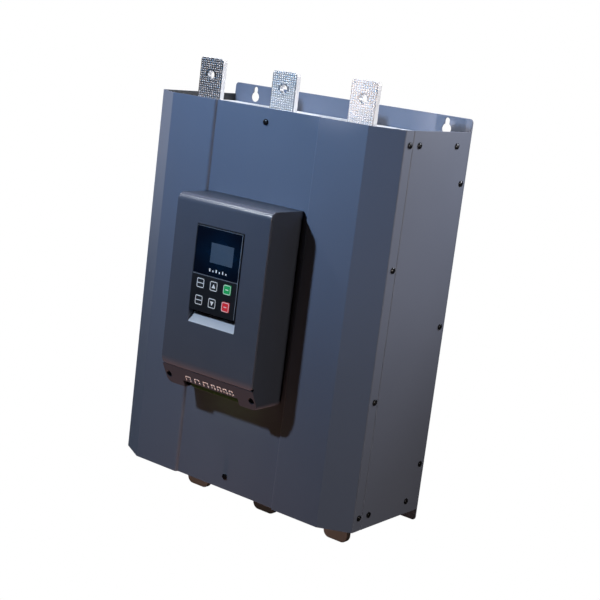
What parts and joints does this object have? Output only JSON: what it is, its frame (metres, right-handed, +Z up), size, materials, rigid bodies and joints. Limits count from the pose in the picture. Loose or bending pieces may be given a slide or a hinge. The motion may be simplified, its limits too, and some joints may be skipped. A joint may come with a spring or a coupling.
{
  "type": "soft starter",
  "caption": "Wall-mounted three-phase motor soft starter: slate sheet enclosure with sloped front edges, bus bars above and below, and a control box with a pull-out keypad.",
  "frame": {"origin": "middle of the back plate's wall face", "axes": "+X to the right seen from the front, -Y out of the front, +Z up"},
  "size_m": [0.405, 0.2373, 0.613],
  "materials": {
    "slate_paint": "fine textured powder coat",
    "zinc_sheet": "zinc-plated sheet",
    "black_screw": "blackened screw",
    "tinned_copper": "tin-plated copper with a knurled contact face",
    "heat_sink": "extruded, natural",
    "ceramic": "glazed ceramic disc",
    "steel": "zinc-plated steel",
    "post_red": "moulded polyester insulator",
    "transformer_case": "potted case",
    "fan_plastic": "moulded",
    "board": "green solder mask",
    "spacer": "turned brass",
    "charcoal": "fine spark texture",
    "terminal_green": "moulded",
    "ribbon": "flat cable",
    "window": "tinted acrylic",
    "lcd": "grey-blue liquid crystal",
    "key_black": "silicone key",
    "key_green": "silicone key",
    "key_red": "silicone key"
  },
  "bodies": {
    "enclosure": {"back_plate": "slate_paint", "side_rails": "slate_paint", "left_side_panel": "slate_paint", "right_side_panel": "slate_paint", "top_panel": "zinc_sheet", "bottom_panel": "slate_paint", "front_cover": "slate_paint", "left_panel_screws": "black_screw", "right_panel_screws": "black_screw", "cover_screws": "black_screw", "thyristor_discs": "ceramic", "stack_bolts": "steel", "stack_posts": "post_red", "weld_studs": "steel", "post_nuts": "steel", "bar_bolts": "steel", "fan_screws": "black_screw", "board_bridge": "zinc_sheet", "board_spacers": "spacer", "trigger_board": "board", "pulse_transformers": "transformer_case", "control_base": "charcoal", "control_lid": "charcoal", "control_screws": "black_screw", "main_board": "board", "relay_terminals": "terminal_green", "signal_terminals": "terminal_green", "terminal_screws": "steel", "signal_ribbon": "ribbon", "line_bar_1": "tinned_copper", "load_bar_1": "tinned_copper", "front_sink_1": "heat_sink", "rear_sink_1": "heat_sink", "current_transformer_1": "transformer_case", "fan_frame_1": "fan_plastic", "line_bar_2": "tinned_copper", "load_bar_2": "tinned_copper", "front_sink_2": "heat_sink", "rear_sink_2": "heat_sink", "current_transformer_2": "transformer_case", "fan_frame_2": "fan_plastic", "line_bar_3": "tinned_copper", "load_bar_3": "tinned_copper", "front_sink_3": "heat_sink", "rear_sink_3": "heat_sink", "current_transformer_3": "transformer_case", "fan_frame_3": "fan_plastic"},
    "keypad": {"keypad_frame": "charcoal", "display_window": "window", "lcd_module": "lcd", "keypad_board": "board"},
    "key_menu": {"key_menu": "key_black"},
    "key_up": {"key_up": "key_black"},
    "key_start": {"key_start": "key_green"},
    "key_back": {"key_back": "key_black"},
    "key_down": {"key_down": "key_black"},
    "key_stop": {"key_stop": "key_red"},
    "fan_rotor_1": {"fan_rotor_1": "fan_plastic"},
    "fan_rotor_2": {"fan_rotor_2": "fan_plastic"},
    "fan_rotor_3": {"fan_rotor_3": "fan_plastic"}
  },
  "joints": [
    {"name": "keypad_release", "type": "slide", "parent": "enclosure", "child": "keypad", "axis": [0, -1, 0], "range_m": [0, 0.03]},
    {"name": "press_menu", "type": "slide", "parent": "keypad", "child": "key_menu", "axis": [0, 1, 0], "range_m": [0, 0.0008], "stiffness_N_per_m": 1500, "springref_m": -0.0005},
    {"name": "press_up", "type": "slide", "parent": "keypad", "child": "key_up", "axis": [0, 1, 0], "range_m": [0, 0.0008], "stiffness_N_per_m": 1500, "springref_m": -0.0005},
    {"name": "press_start", "type": "slide", "parent": "keypad", "child": "key_start", "axis": [0, 1, 0], "range_m": [0, 0.0008], "stiffness_N_per_m": 1500, "springref_m": -0.0005},
    {"name": "press_back", "type": "slide", "parent": "keypad", "child": "key_back", "axis": [0, 1, 0], "range_m": [0, 0.0008], "stiffness_N_per_m": 1500, "springref_m": -0.0005},
    {"name": "press_down", "type": "slide", "parent": "keypad", "child": "key_down", "axis": [0, 1, 0], "range_m": [0, 0.0008], "stiffness_N_per_m": 1500, "springref_m": -0.0005},
    {"name": "press_stop", "type": "slide", "parent": "keypad", "child": "key_stop", "axis": [0, 1, 0], "range_m": [0, 0.0008], "stiffness_N_per_m": 1500, "springref_m": -0.0005},
    {"name": "fan_spin_1", "type": "hinge", "parent": "enclosure", "child": "fan_rotor_1", "pos_m": [-0.125, -0.123, -0.231], "axis": [0, 0, 1], "continuous": true},
    {"name": "fan_spin_2", "type": "hinge", "parent": "enclosure", "child": "fan_rotor_2", "pos_m": [0, -0.123, -0.231], "axis": [0, 0, 1], "continuous": true},
    {"name": "fan_spin_3", "type": "hinge", "parent": "enclosure", "child": "fan_rotor_3", "pos_m": [0.125, -0.123, -0.231], "axis": [0, 0, 1], "continuous": true}
  ]
}
